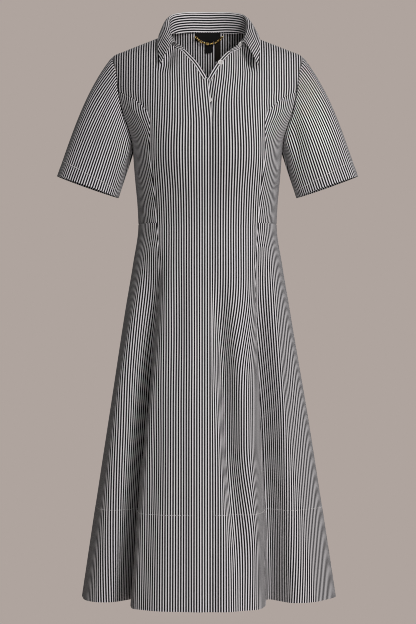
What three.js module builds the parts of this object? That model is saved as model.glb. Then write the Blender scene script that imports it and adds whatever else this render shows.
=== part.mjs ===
// Midi shirt dress with short sleeves, worn by no one, so it keeps its hollow worn form.
// Units are millimetres. X runs to the wearer's left, Y to the back and Z up.
// The origin is the middle of the neck, level with the foot of the collar on the shoulders.
import * as THREE from "three";

// Driving dimensions of the cloth and its seams
const CLOTH = 1.2; // wall thickness
const HALF_SEAM = 0.2; // each panel stops this far short of its seam line
const SLEEVE_SEAM = 0.9; // the sleeve's edge stands this far off the armhole
const ROUNDNESS = 2.15; // exponent of the body's sections, where 2 is an ellipse
const WAIST_Z = -380;
const HEM_Z = -1134;

// Body sections from the neck down: half width, and depth before and behind the side seam
const SECTIONS = [
  { z: 20, width: 47, front: 28, back: 55 },
  { z: 8, width: 76, front: 36, back: 57 },
  { z: -12, width: 126, front: 53, back: 67 },
  { z: -30, width: 170, front: 65, back: 76 },
  { z: -40, width: 192, front: 71, back: 80 },
  { z: -56, width: 199, front: 80, back: 86 },
  { z: -95, width: 199, front: 97, back: 98 },
  { z: -150, width: 186, front: 113, back: 105 },
  { z: -190, width: 164, front: 120, back: 107 },
  { z: -215, width: 151, front: 122, back: 106 },
  { z: -240, width: 146, front: 122, back: 104 },
  { z: -300, width: 143, front: 113, back: 96 },
  { z: -340, width: 141, front: 105, back: 91 },
  { z: -380, width: 140, front: 101, back: 89 },
  { z: -460, width: 151, front: 114, back: 103 },
  { z: -558, width: 167.5, front: 129, back: 118 },
  { z: -753, width: 198, front: 161, back: 149 },
  { z: -948, width: 228, front: 194, back: 180 },
  { z: -1134, width: 256, front: 226, back: 210 },
];

// The hem's outline, a row for each 12 degrees from the front centre towards the wearer's left
const HEM_OUTLINE = [
  { x: 0, y: -229 },
  { x: 45, y: -230 },
  { x: 88, y: -206 },
  { x: 112, y: -145 },
  { x: 121, y: -54 },
  { x: 166, y: -104 },
  { x: 221, y: -90 },
  { x: 253, y: -32 },
  { x: 254, y: 30 },
  { x: 228, y: 86 },
  { x: 184, y: 104 },
  { x: 160, y: 152 },
  { x: 124, y: 206 },
  { x: 76, y: 194 },
  { x: 38, y: 198 },
  { x: 0, y: 212 },
  { x: -44, y: 214 },
  { x: -84, y: 190 },
  { x: -122, y: 204 },
  { x: -158, y: 158 },
  { x: -182, y: 100 },
  { x: -224, y: 84 },
  { x: -250, y: 34 },
  { x: -254, y: -24 },
  { x: -228, y: -76 },
  { x: -190, y: -94 },
  { x: -153, y: -48 },
  { x: -149, y: -152 },
  { x: -116, y: -208 },
  { x: -54, y: -226 },
];
const FLARE_TOP = -430; // the flutes start here and grow straight to the hem
const FLARE_POWER = 1.08;

// Soft folds: the angle round the body at the fold's top and at the hem, its half width and rise
const FOLDS = [
  { top: 6, hem: 19, start: -470, spread: 4.2, rise: -9 },
  { top: -17, hem: -24, start: -520, spread: 5, rise: 5 },
  { top: 27, hem: 29, start: -560, spread: 4, rise: 5 },
  { top: 68, hem: 76, start: -480, spread: 5, rise: -7 },
  { top: -66, hem: -73, start: -500, spread: 5, rise: 7 },
  { top: 168, hem: 164, start: -500, spread: 5, rise: 7 },
  { top: -160, hem: -165, start: -540, spread: 5, rise: -6 },
];
const FOLD_FADE = 260; // a fold reaches its full rise this far below its start

// The two cups, shaped by the princess seams
const CUP = { x: 78, z: -238, spreadX: 46, spreadZ: 60, rise: 14 };

// Armhole, an oval seen from the side
const ARMHOLE = { top: -41, bottom: -228, front: 48, back: 50 };

// Princess seams: distance from the centre line on the bodice, and angle on the skirt
const FRONT_PRINCESS = [
  { z: -118, x: 176 },
  { z: -130, x: 152 },
  { z: -145, x: 133 },
  { z: -160, x: 118 },
  { z: -178, x: 111 },
  { z: -215, x: 109 },
  { z: -315, x: 103 },
  { z: -380, x: 101 },
];
const BACK_PRINCESS = [
  { z: -118, x: 176 },
  { z: -130, x: 154 },
  { z: -150, x: 132 },
  { z: -175, x: 116 },
  { z: -215, x: 106 },
  { z: -315, x: 97 },
  { z: -380, x: 93 },
];
const SKIRT_PRINCESS = [
  { z: -380, front: 45, back: 40.3 },
  { z: -430, front: 41, back: 38 },
  { z: -500, front: 38.5, back: 37 },
  { z: -1134, front: 37, back: 36 },
];

// Heights of the cloth rows, shared by panels that meet
const ARMHOLE_LEVELS = [-41, -55, -70, -84, -100, -118];
const BODICE_LEVELS = [-130, -145, -160, -178, -200, -228, -255, -285, -315, -347, -380];
const SKIRT_LEVELS = [-430, -490, -555, -625, -695, -765, -835, -905, -980, -1057, -1134];

// Neckline and front edge, from the shoulder down, as distance to the panel's own side of centre
const RIGHT_EDGE = [
  { x: 76, z: 8 },
  { x: 74, z: -11 },
  { x: 64, z: -27 },
  { x: 46, z: -32 },
  { x: 34, z: -44 },
  { x: 20, z: -60 },
  { x: 8, z: -79 },
  { x: 0, z: -95 },
  { x: -3, z: -120 },
  { x: -6, z: -150 },
  { x: -8.5, z: -185 },
  { x: -9, z: -222 },
];
const LEFT_EDGE = [
  { x: 76, z: 8 },
  { x: 75, z: -12 },
  { x: 64, z: -31 },
  { x: 41, z: -37 },
  { x: 30, z: -47 },
  { x: 19, z: -61 },
  { x: 8, z: -79 },
  { x: -2, z: -97 },
  { x: -11, z: -120 },
  { x: -18, z: -150 },
  { x: -20, z: -185 },
  { x: -20, z: -222 },
];
const LAP = { drop: 2.4, blend: 12, dip: 4.4, dipZ: -137, dipSpread: 20 };
const RIGHT_EDGE_BELOW = -9; // the lap's edge stays this far past the centre
const LEFT_EDGE_BELOW = -20;

// Back neckline, as angle from the back centre and height
const BACK_NECK = [
  { angle: 90, z: 8 },
  { angle: 60, z: 13 },
  { angle: 30, z: 16.5 },
  { angle: 0, z: 18 },
];
const BACK_CENTRE_LEVELS = [-5, -28, -52, -76, -100, -125, -152, -185, -222];

// Sleeve
const CUFF = { x: 242.5, y: -8, z: -305, halfWidth: 65.9, halfDepth: 54 };
const CUFF_OUTWARD = new THREE.Vector3(0.943, 0, 0.332);
const CUFF_DOWN = new THREE.Vector3(0.332, 0, -0.943);
const SLEEVE_START_TOP = new THREE.Vector3(0.62, 0, -0.78);
const SLEEVE_START_UNDER = new THREE.Vector3(0.3, 0, -0.95);
const SLEEVE_FULLNESS = 0.22; // how far the start of the sleeve leans to the front and back
const SLEEVE_PULL = 0.33; // length of the curve's handles, as a share of the sleeve's length
const SLEEVE_ROUND = 24;
const SLEEVE_ROWS = 7;

// Collar from the front end to the back centre: the roll at the top, and the edge of the fall.
// Each row gives its distance from the centre on the wearer's right and left.
const COLLAR_ROLL = [
  { right: 65, left: 69, y: -66, z: -18 },
  { right: 75, left: 77, y: -46, z: 5 },
  { right: 78, left: 79, y: -12, z: 31 },
  { right: 70, left: 70, y: 25, z: 49 },
  { right: 40, left: 40, y: 49, z: 57 },
  { right: 0, left: 0, y: 57, z: 58 },
];
const COLLAR_EDGE = [
  { right: 93, left: 99, y: -90, z: -67 },
  { right: 97, left: 103, y: -62, z: -22 },
  { right: 95, left: 99, y: -14, z: 6 },
  { right: 88, left: 89, y: 34, z: 8 },
  { right: 54, left: 54, y: 64, z: 9 },
  { right: 0, left: 0, y: 74, z: 10 },
];
const NECK_SEAM_ROWS = 4; // rows of the front edge's table that lie on the neck seam
const COLLAR_COLUMNS = 28;
const STAND_ROWS = 3;
const FALL_ROWS = 5;
const STAND_CLEAR = 0.45; // gap between stand and fall
const STAND_FOOT = 1.2; // gap under the stand, where it rides over the panels' facets
const FALL_BULGE = 4;

// Steps to each side of a point, for the slope of a sleeve or collar there
const NEAR_COLUMN = 0.3;
const NEAR_SHARE = 0.05;

// Trim
const BUTTON = { radius: 5.6, thickness: 2.3, recess: 0.5, rim: 1.3, bevel: 0.5, sides: 16 };
const COLLAR_BUTTON = { column: 27.3, down: 0.5, lift: 1.4 };
const TRIM_CLEAR = 0.35;
const NECK_BUTTON = { x: 26, z: -62 };
const CLOSING_BUTTON = { x: 3, lift: 2.2 }; // the closing button bridges the dip under the lap
const TRIM_COLUMNS = 4;
const TRIM_ROWS = 3;
const BACK_TRIM_CLEAR = 2.1; // the strips inside the back neck clear the panels' facets
const LABEL = { left: -25, right: 28, top: 17, bottom: 1, thickness: 0.6 };
const SIZE_TAB = { left: -5, right: 9, top: 14, bottom: -22, thickness: 0.6 };
const CARE_STRIP = { left: 16.5, right: 27.5, top: 14, bottom: -38, thickness: 0.6 };
const CHAIN = { left: -24, right: 31, top: 8, sag: 11, radius: 1.2, sides: 8, steps: 22, points: 8 };

const radians = THREE.MathUtils.degToRad;

// A smooth curve through a table's rows that never overshoots them, read by height.
function profile(rows, key) {
  const sorted = [...rows].sort((a, b) => a.z - b.z);
  const z = sorted.map((row) => row.z);
  const value = sorted.map((row) => row[key]);
  const slope = [];
  for (let i = 0; i + 1 < z.length; i += 1) {
    slope.push((value[i + 1] - value[i]) / (z[i + 1] - z[i]));
  }
  const tangent = z.map((_, i) => {
    if (i === 0) return slope[0];
    if (i === z.length - 1) return slope[i - 1];
    if (slope[i - 1] * slope[i] <= 0) return 0;
    return (2 * slope[i - 1] * slope[i]) / (slope[i - 1] + slope[i]);
  });
  return (height) => {
    const h = THREE.MathUtils.clamp(height, z[0], z[z.length - 1]);
    let i = 0;
    while (i + 2 < z.length && h > z[i + 1]) i += 1;
    const step = z[i + 1] - z[i];
    const t = (h - z[i]) / step;
    const bend = t * t * (3 - 2 * t);
    const start = t * (1 - t) * (1 - t);
    const end = -t * t * (1 - t);
    return (
      value[i] * (1 - bend) + value[i + 1] * bend + step * (tangent[i] * start + tangent[i + 1] * end)
    );
  };
}

const widthAt = profile(SECTIONS, "width");
const frontDepthAt = profile(SECTIONS, "front");
const backDepthAt = profile(SECTIONS, "back");
const rightEdgeAt = profile(RIGHT_EDGE, "x");

const signedPower = (value, power) => Math.sign(value) * Math.abs(value) ** power;

// Smooth section of the body at one height. The angle is 0 at the front centre and 90 at the side.
function smoothSection(angle, z) {
  const turn = radians(angle);
  const depth = Math.cos(turn) > 0 ? frontDepthAt(z) : backDepthAt(z);
  return new THREE.Vector2(
    widthAt(z) * signedPower(Math.sin(turn), 2 / ROUNDNESS),
    -depth * signedPower(Math.cos(turn), 2 / ROUNDNESS),
  );
}

// The hem's outline as a closed curve through its rows.
function hemOutline(angle) {
  const count = HEM_OUTLINE.length;
  const place = (((angle / 360) % 1) + 1) % 1 * count;
  const first = Math.floor(place);
  const t = place - first;
  const row = (k) => HEM_OUTLINE[(first + k + count) % count];
  const blend = (key) =>
    0.5 *
    (2 * row(0)[key] +
      (row(1)[key] - row(-1)[key]) * t +
      (2 * row(-1)[key] - 5 * row(0)[key] + 4 * row(1)[key] - row(2)[key]) * t * t +
      (3 * row(0)[key] - row(-1)[key] - 3 * row(1)[key] + row(2)[key]) * t * t * t);
  return new THREE.Vector2(blend("x"), blend("y"));
}

const bell = (distance, spread) => Math.exp(-0.5 * (distance / spread) ** 2);
const wrapped = (angle) => ((((angle + 180) % 360) + 360) % 360) - 180;

// Rise of cups and soft folds over the plain form, outwards.
function rise(angle, z, x) {
  let total = 0;
  if (Math.abs(wrapped(angle)) < 90) {
    const across = Math.abs(x) - CUP.x;
    total += CUP.rise * bell(across, CUP.spreadX) * bell(z - CUP.z, CUP.spreadZ);
  }
  for (const fold of FOLDS) {
    const grown = THREE.MathUtils.clamp((fold.start - z) / FOLD_FADE, 0, 1);
    const way = THREE.MathUtils.clamp((fold.start - z) / (fold.start - HEM_Z), 0, 1);
    const centre = fold.top + (fold.hem - fold.top) * way;
    total += fold.rise * grown * grown * (3 - 2 * grown) * bell(wrapped(angle - centre), fold.spread);
  }
  return total;
}

// A point of the dress's outer surface.
function surface(angle, z) {
  const smooth = smoothSection(angle, z);
  const grown = Math.max(0, (FLARE_TOP - z) / (FLARE_TOP - HEM_Z)) ** FLARE_POWER;
  const flute = hemOutline(angle).sub(smoothSection(angle, HEM_Z)).multiplyScalar(grown);
  const outward = new THREE.Vector2(
    smooth.x / widthAt(z) ** 2,
    smooth.y / frontDepthAt(z) ** 2,
  ).normalize();
  const place = smooth.clone().add(flute).addScaledVector(outward, rise(angle, z, smooth.x));
  return new THREE.Vector3(place.x, place.y, z);
}

// The outward normal there.
function surfaceNormal(angle, z) {
  const across = surface(angle + 0.5, z).sub(surface(angle - 0.5, z));
  const up = surface(angle, z + 1).sub(surface(angle, z - 1));
  return across.cross(up).normalize();
}

// The angle from the centre at which the section reaches a distance x, and a depth y.
function angleOfX(x, z) {
  const share = THREE.MathUtils.clamp(x / widthAt(z), -1, 1);
  return THREE.MathUtils.radToDeg(Math.asin(signedPower(share, ROUNDNESS / 2)));
}

function angleOfDepth(y, depth) {
  return THREE.MathUtils.radToDeg(Math.acos(Math.min(1, y / depth) ** (ROUNDNESS / 2)));
}

const armholeMiddle = (ARMHOLE.top + ARMHOLE.bottom) / 2;
const armholeHalf = (ARMHOLE.top - ARMHOLE.bottom) / 2;

// The armhole's edge at one height, as an angle from the front or back centre.
function armholeAngle(z, isFront) {
  const share = THREE.MathUtils.clamp((z - armholeMiddle) / armholeHalf, -1, 1);
  const y = (isFront ? ARMHOLE.front : ARMHOLE.back) * Math.sqrt(1 - share * share);
  return angleOfDepth(y, isFront ? frontDepthAt(z) : backDepthAt(z));
}

const princessX = {
  front: profile(FRONT_PRINCESS, "x"),
  back: profile(BACK_PRINCESS, "x"),
};
const princessTurn = {
  front: profile(SKIRT_PRINCESS, "front"),
  back: profile(SKIRT_PRINCESS, "back"),
};
const TIP_WIDTH = 0.5; // degrees left of the side panel where it runs out at the armhole

function princessAngle(z, isFront) {
  const face = isFront ? "front" : "back";
  if (z < WAIST_Z) return princessTurn[face](z);
  const angle = angleOfX(princessX[face](z), z);
  return z < ARMHOLE.bottom ? angle : Math.min(angle, armholeAngle(z, isFront) - TIP_WIDTH);
}

// A wall of cloth from a grid of outer and inner points. Rows run down, columns run round.
function wall(grid, isRing = false) {
  const rows = grid.length;
  const columns = grid[0].length;
  const place = [];
  for (const side of ["outer", "inner"]) {
    for (const row of grid) {
      for (const cell of row) place.push(cell[side].x, cell[side].y, cell[side].z);
    }
  }
  const at = (row, column, inner) =>
    (inner ? rows * columns : 0) + row * columns + (column % columns);
  const faces = [];
  const quad = (a, b, c, d) => faces.push(a, b, c, a, c, d);
  const lastColumn = isRing ? columns : columns - 1;
  for (let r = 0; r + 1 < rows; r += 1) {
    for (let c = 0; c < lastColumn; c += 1) {
      quad(at(r, c), at(r + 1, c), at(r + 1, c + 1), at(r, c + 1));
      quad(at(r, c, 1), at(r, c + 1, 1), at(r + 1, c + 1, 1), at(r + 1, c, 1));
    }
  }
  for (let c = 0; c < lastColumn; c += 1) {
    quad(at(0, c), at(0, c + 1), at(0, c + 1, 1), at(0, c, 1));
    quad(at(rows - 1, c), at(rows - 1, c, 1), at(rows - 1, c + 1, 1), at(rows - 1, c + 1));
  }
  if (!isRing) {
    const end = columns - 1;
    for (let r = 0; r + 1 < rows; r += 1) {
      quad(at(r, 0), at(r, 0, 1), at(r + 1, 0, 1), at(r + 1, 0));
      quad(at(r, end), at(r + 1, end), at(r + 1, end, 1), at(r, end, 1));
    }
  }
  const geometry = new THREE.BufferGeometry();
  geometry.setAttribute("position", new THREE.Float32BufferAttribute(place, 3));
  geometry.setIndex(volume(place, faces) < 0 ? flipped(faces) : faces);
  geometry.computeVertexNormals();
  return geometry;
}

// Six times the volume that the faces enclose, negative where they face inwards.
function volume(place, faces) {
  const point = (i) => new THREE.Vector3().fromArray(place, 3 * i);
  let total = 0;
  for (let i = 0; i < faces.length; i += 3) {
    total += point(faces[i]).dot(point(faces[i + 1]).cross(point(faces[i + 2])));
  }
  return total;
}

function flipped(faces) {
  const turned = [];
  for (let i = 0; i < faces.length; i += 3) turned.push(faces[i], faces[i + 2], faces[i + 1]);
  return turned;
}

// Draws a panel's outer edge back from its seam lines.
function insetEdges(grid, amount) {
  const rows = grid.length;
  const columns = grid[0].length;
  for (const side of ["outer", "inner"]) {
    const moves = [];
    const pull = (row, column, towardRow, towardColumn) => {
      const toward = grid[towardRow][towardColumn][side].clone().sub(grid[row][column][side]);
      moves.push([grid[row][column][side], toward.setLength(amount)]);
    };
    for (let r = 0; r < rows; r += 1) {
      pull(r, 0, r, 1);
      pull(r, columns - 1, r, columns - 2);
    }
    for (let c = 0; c < columns; c += 1) {
      pull(0, c, 1, c);
      pull(rows - 1, c, rows - 2, c);
    }
    for (const [point, move] of moves) point.add(move);
  }
}

// A body panel between two edges, each a list of { angle, z } from the top down.
// Side is 1 for the wearer's left and -1 for the right.
function panel({ leftEdge, rightEdge, columns, side, isFront, drop = () => 0 }) {
  const grid = leftEdge.map((start, r) => {
    const end = rightEdge[r];
    const row = [];
    for (let c = 0; c <= columns; c += 1) {
      const angle = start.angle + ((end.angle - start.angle) * c) / columns;
      const z = start.z + ((end.z - start.z) * c) / columns;
      const turn = side * (isFront ? angle : 180 - angle);
      const normal = surfaceNormal(turn, z);
      const outer = surface(turn, z);
      outer.addScaledVector(normal, -drop(outer, z));
      row.push({ outer, inner: outer.clone().addScaledVector(normal, -CLOTH) });
    }
    return row;
  });
  insetEdges(grid, HALF_SEAM);
  return wall(grid);
}

const STRIPED = { color: 0x7d7c7d, roughness: 0.85, metalness: 0 };
const BLACK_TAPE = { color: 0x16151a, roughness: 0.8, metalness: 0 };
const PEARL = { color: 0xf2f0ea, roughness: 0.3, metalness: 0 };
const GOLD = { color: 0xc9a24b, roughness: 0.3, metalness: 1 };

const dress = new THREE.Group();

function add(name, geometry, look) {
  const mesh = new THREE.Mesh(geometry, new THREE.MeshStandardMaterial(look));
  mesh.name = name;
  dress.add(mesh);
  return mesh;
}

const SIDES = [
  { label: "right", side: -1 },
  { label: "left", side: 1 },
];
const CENTRE_COLUMNS = 9;
const SIDE_BODICE_COLUMNS = 5;
const SIDE_SKIRT_COLUMNS = 10;

// The outer edge of a centre panel: armhole, then princess seam down to the hem.
function centrePanelOuterEdge(isFront) {
  const armhole = ARMHOLE_LEVELS.map((z) => ({ z, angle: armholeAngle(z, isFront) }));
  armhole[armhole.length - 1].angle = princessAngle(armhole[armhole.length - 1].z, isFront);
  const seam = [...BODICE_LEVELS, ...SKIRT_LEVELS].map((z) => ({
    z,
    angle: princessAngle(z, isFront),
  }));
  return [...armhole, ...seam];
}

// The under front drops behind the lap, and dips further at the closing button.
function lapDrop(point, z) {
  const lapEdge = -rightEdgeAt(z);
  const under = 1 - THREE.MathUtils.smoothstep(point.x, lapEdge + 2, lapEdge + 2 + LAP.blend);
  return under * (LAP.drop + LAP.dip * bell(z - LAP.dipZ, LAP.dipSpread));
}

function addFront({ label, side }) {
  const isLap = side < 0;
  const edge = isLap ? RIGHT_EDGE : LEFT_EDGE;
  const below = isLap ? RIGHT_EDGE_BELOW : LEFT_EDGE_BELOW;
  const straight = [...BODICE_LEVELS, ...SKIRT_LEVELS].slice(edge.length - ARMHOLE_LEVELS.length);
  const leftEdge = [
    ...edge.map(({ x, z }) => ({ z, angle: angleOfX(x, z) })),
    ...straight.map((z) => ({ z, angle: angleOfX(below, z) })),
  ];
  const geometry = panel({
    leftEdge,
    rightEdge: centrePanelOuterEdge(true),
    columns: CENTRE_COLUMNS,
    side,
    isFront: true,
    drop: isLap ? undefined : lapDrop,
  });
  add(`front_${label}`, geometry, STRIPED);
}

function addBack({ label, side }) {
  const above = BACK_NECK.length + BACK_CENTRE_LEVELS.length;
  const shared = [...BODICE_LEVELS, ...SKIRT_LEVELS].slice(above - ARMHOLE_LEVELS.length);
  const centre = [...BACK_CENTRE_LEVELS, ...shared];
  const leftEdge = [...BACK_NECK, ...centre.map((z) => ({ z, angle: 0 }))];
  const geometry = panel({
    leftEdge,
    rightEdge: centrePanelOuterEdge(false),
    columns: CENTRE_COLUMNS,
    side,
    isFront: false,
  });
  add(`back_${label}`, geometry, STRIPED);
}

function addSidePanels({ label, side }, isFront) {
  const face = isFront ? "front" : "back";
  const bodice = [ARMHOLE_LEVELS[ARMHOLE_LEVELS.length - 1], ...BODICE_LEVELS];
  const sideAngle = (z) => (z > ARMHOLE.bottom ? armholeAngle(z, isFront) : 90);
  const seam = (z) => ({ z, angle: princessAngle(z, isFront) });
  const outerEdge = (z) => ({ z, angle: sideAngle(z) });
  const common = { side, isFront };
  add(
    `side_${face}_bodice_${label}`,
    panel({
      ...common,
      leftEdge: bodice.map(seam),
      rightEdge: bodice.map(outerEdge),
      columns: SIDE_BODICE_COLUMNS,
    }),
    STRIPED,
  );
  const skirt = [WAIST_Z, ...SKIRT_LEVELS];
  add(
    `side_${face}_skirt_${label}`,
    panel({
      ...common,
      leftEdge: skirt.map(seam),
      rightEdge: skirt.map(outerEdge),
      columns: SIDE_SKIRT_COLUMNS,
    }),
    STRIPED,
  );
}

// A point of the sleeve on the wearer's left: turn is 0 on top and 90 at the front.
function sleevePoint(turn, along) {
  const t = radians(turn);
  const z = armholeMiddle + armholeHalf * Math.cos(t);
  const isFront = Math.sin(t) > 0;
  const angle = armholeAngle(z, isFront);
  const ring = isFront ? angle : 180 - angle;
  const start = surface(ring, z);
  const topness = 0.5 + 0.5 * Math.cos(t);
  start.addScaledVector(surfaceNormal(ring, z), SLEEVE_SEAM + CLOTH * topness);
  const end = new THREE.Vector3(CUFF.x, CUFF.y - CUFF.halfDepth * Math.sin(t), CUFF.z);
  end.addScaledVector(CUFF_OUTWARD, CUFF.halfWidth * Math.cos(t));
  const lead = SLEEVE_START_UNDER.clone().lerp(SLEEVE_START_TOP, topness);
  lead.y = -SLEEVE_FULLNESS * Math.sin(t);
  const pull = SLEEVE_PULL * start.distanceTo(end);
  const curve = new THREE.CubicBezierCurve3(
    start,
    start.clone().addScaledVector(lead.normalize(), pull),
    end.clone().addScaledVector(CUFF_DOWN, -pull),
    end,
  );
  return curve.getPoint(along);
}

function addSleeve({ label, side }) {
  const grid = [];
  for (let r = 0; r <= SLEEVE_ROWS; r += 1) {
    const along = r / SLEEVE_ROWS;
    const row = [];
    for (let c = 0; c < SLEEVE_ROUND; c += 1) {
      const turn = (360 * c) / SLEEVE_ROUND;
      const outer = sleevePoint(turn, along);
      const around = sleevePoint(turn + 1, along).sub(sleevePoint(turn - 1, along));
      const back = Math.max(0, along - NEAR_SHARE);
      const ahead = Math.min(1, along + NEAR_SHARE);
      const down = sleevePoint(turn, ahead).sub(sleevePoint(turn, back));
      const inner = outer.clone().addScaledVector(down.cross(around).normalize(), -CLOTH);
      row.push({ outer, inner });
    }
    grid.push(row);
  }
  for (const row of grid) {
    for (const cell of row) {
      cell.outer.x *= side;
      cell.inner.x *= side;
    }
  }
  add(`sleeve_${label}`, wall(grid, true), STRIPED);
}

// A curve from the right front end, round the back, to the left front end.
function collarCurve(right, left) {
  const points = [...right, ...left.reverse().slice(1)];
  return new THREE.CatmullRomCurve3(points, false, "centripetal");
}

function collarLine(rows) {
  return collarCurve(
    rows.map(({ right, y, z }) => new THREE.Vector3(-right, y, z)),
    rows.map(({ left, y, z }) => new THREE.Vector3(left, y, z)),
  );
}

// The neck seam along the top edge of the panels.
function neckSeam() {
  const half = (edge, side) => [
    ...edge.slice(0, NECK_SEAM_ROWS).reverse().map(({ x, z }) => surface(side * angleOfX(x, z), z)),
    ...BACK_NECK.slice(1).map(({ angle, z }) => surface(side * (180 - angle), z)),
  ];
  return collarCurve(half(RIGHT_EDGE, -1), half(LEFT_EDGE, 1));
}

const curveAt = (curve, column) => curve.getPointAt(column / COLLAR_COLUMNS);

function collarWall(pointAt, rows) {
  const grid = [];
  for (let r = 0; r <= rows; r += 1) {
    const row = [];
    for (let c = 0; c <= COLLAR_COLUMNS; c += 1) {
      const outer = pointAt(c, r / rows);
      const around = pointAt(Math.min(COLLAR_COLUMNS, c + NEAR_COLUMN), r / rows);
      around.sub(pointAt(Math.max(0, c - NEAR_COLUMN), r / rows));
      const down = pointAt(c, Math.min(1, r / rows + NEAR_SHARE));
      down.sub(pointAt(c, Math.max(0, r / rows - NEAR_SHARE)));
      const inward = around.cross(down).normalize();
      row.push({ outer, inner: outer.clone().addScaledVector(inward, CLOTH) });
    }
    grid.push(row);
  }
  return wall(grid);
}

const seam = neckSeam();
const roll = collarLine(COLLAR_ROLL);
const edge = collarLine(COLLAR_EDGE);

function standPoint(column, down) {
  const top = curveAt(roll, column);
  const foot = curveAt(seam, column);
  const height = top.distanceTo(foot);
  const start = 2 * STAND_CLEAR;
  return top.lerp(foot, (start + down * (height - start - STAND_FOOT)) / height);
}

function addCollar() {
  const fallPoint = (column, down) => {
    const top = curveAt(roll, column);
    const low = curveAt(edge, column);
    const outward = new THREE.Vector3(low.x, low.y, 0).normalize();
    const place = top.lerp(low, down);
    return place.addScaledVector(outward, FALL_BULGE * Math.sin(Math.PI * Math.sqrt(down)) + CLOTH);
  };
  add("collar_stand", collarWall(standPoint, STAND_ROWS), STRIPED);
  add("collar_fall", collarWall(fallPoint, FALL_ROWS), STRIPED);
}

function buttonGeometry() {
  const { radius, thickness, recess, rim, bevel, sides } = BUTTON;
  const outline = [
    [0, 0],
    [radius - bevel, 0],
    [radius, bevel],
    [radius, thickness - bevel],
    [radius - bevel, thickness],
    [radius - rim, thickness],
    [radius - rim - bevel, thickness - recess],
    [0, thickness - recess],
  ];
  const points = outline.map(([r, h]) => new THREE.Vector2(r, h));
  return new THREE.LatheGeometry(points, sides);
}

function addButton(name, place, normal, lift) {
  const button = add(name, buttonGeometry(), PEARL);
  button.position.copy(place).addScaledVector(normal, lift);
  button.quaternion.setFromUnitVectors(new THREE.Vector3(0, 1, 0), normal);
}

// A point and normal on the left front at a distance x from the centre.
function onLeftFront(x, z) {
  const angle = angleOfX(x, z);
  const normal = surfaceNormal(angle, z);
  const place = surface(angle, z);
  return { place: place.addScaledVector(normal, -lapDrop(place, z)), normal };
}

function addButtons() {
  const closing = onLeftFront(CLOSING_BUTTON.x, LAP.dipZ);
  addButton("button_front", closing.place, closing.normal, CLOSING_BUTTON.lift);
  const upper = onLeftFront(NECK_BUTTON.x, NECK_BUTTON.z);
  addButton("button_neck", upper.place, upper.normal, TRIM_CLEAR);
  const { column, down } = COLLAR_BUTTON;
  const place = standPoint(column, down);
  const normal = standPoint(column, down + 0.1).sub(standPoint(column, down - 0.1));
  normal.cross(standPoint(column + 0.5, down).sub(standPoint(column - 0.5, down)));
  addButton("button_collar", place, normal.normalize(), COLLAR_BUTTON.lift);
}

// A flat strip inside the back neck, between two distances from the centre back.
function backTrim({ left, right, top, bottom, thickness }, depth) {
  const grid = [];
  for (let r = 0; r <= TRIM_ROWS; r += 1) {
    const z = top + ((bottom - top) * r) / TRIM_ROWS;
    const row = [];
    for (let c = 0; c <= TRIM_COLUMNS; c += 1) {
      const x = left + ((right - left) * c) / TRIM_COLUMNS;
      const turn = 180 - angleOfX(x, z);
      const normal = surfaceNormal(turn, z);
      const outer = surface(turn, z).addScaledVector(normal, -CLOTH - depth);
      row.push({ outer, inner: outer.clone().addScaledVector(normal, -thickness) });
    }
    grid.push(row);
  }
  return wall(grid);
}

function addBackTrim() {
  const under = BACK_TRIM_CLEAR;
  const over = under + SIZE_TAB.thickness + TRIM_CLEAR;
  add("size_tab", backTrim(SIZE_TAB, under), BLACK_TAPE);
  add("care_strip", backTrim(CARE_STRIP, under), BLACK_TAPE);
  add("neck_label", backTrim(LABEL, over), BLACK_TAPE);
  const chainDepth = CLOTH + over + LABEL.thickness + TRIM_CLEAR + CHAIN.radius;
  const points = [];
  for (let i = 0; i <= CHAIN.points; i += 1) {
    const share = i / CHAIN.points;
    const x = CHAIN.left + (CHAIN.right - CHAIN.left) * share;
    const z = CHAIN.top - CHAIN.sag * (1 - (2 * share - 1) ** 2);
    const turn = 180 - angleOfX(x, z);
    points.push(surface(turn, z).addScaledVector(surfaceNormal(turn, z), -chainDepth));
  }
  const ring = new THREE.Shape();
  ring.absarc(0, 0, CHAIN.radius, 0, 2 * Math.PI);
  const chain = new THREE.ExtrudeGeometry(ring, {
    steps: CHAIN.steps,
    curveSegments: CHAIN.sides,
    extrudePath: new THREE.CatmullRomCurve3(points),
  });
  add("hanger_chain", chain, GOLD);
}

for (const half of SIDES) {
  addFront(half);
  addBack(half);
  addSidePanels(half, true);
  addSidePanels(half, false);
  addSleeve(half);
}
addCollar();
addButtons();
addBackTrim();

export default dress;
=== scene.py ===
import math
from collections import namedtuple

import bpy
import numpy as np
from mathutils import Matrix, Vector


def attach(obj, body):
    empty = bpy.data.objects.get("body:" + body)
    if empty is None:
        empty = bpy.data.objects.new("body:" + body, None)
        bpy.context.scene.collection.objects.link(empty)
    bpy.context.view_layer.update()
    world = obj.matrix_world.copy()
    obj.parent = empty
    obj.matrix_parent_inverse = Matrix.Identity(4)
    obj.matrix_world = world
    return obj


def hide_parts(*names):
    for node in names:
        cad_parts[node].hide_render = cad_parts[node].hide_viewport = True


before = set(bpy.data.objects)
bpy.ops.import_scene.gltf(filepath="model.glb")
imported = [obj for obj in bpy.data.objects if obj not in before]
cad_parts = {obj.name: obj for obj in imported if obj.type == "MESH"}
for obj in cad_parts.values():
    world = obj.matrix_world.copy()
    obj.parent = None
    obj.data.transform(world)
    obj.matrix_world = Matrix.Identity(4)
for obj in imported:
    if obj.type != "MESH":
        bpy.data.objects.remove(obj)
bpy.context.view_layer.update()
MM = 0.001

# Cloth
CLOTH = 1.2  # wall of the CAD solids
SHEET = 0.55  # thickness of a single layer here
FOLDED = 1.3  # thickness where the cloth is turned back on itself
STRIPE_PITCH = 5.2  # one black and one white stripe
WHITE_SHARE = 0.42  # of the pitch
ROUNDNESS = 2.15
WAIST_Z = -380
HEM_Z = -1134
HEM_STITCH_Z = -952

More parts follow.
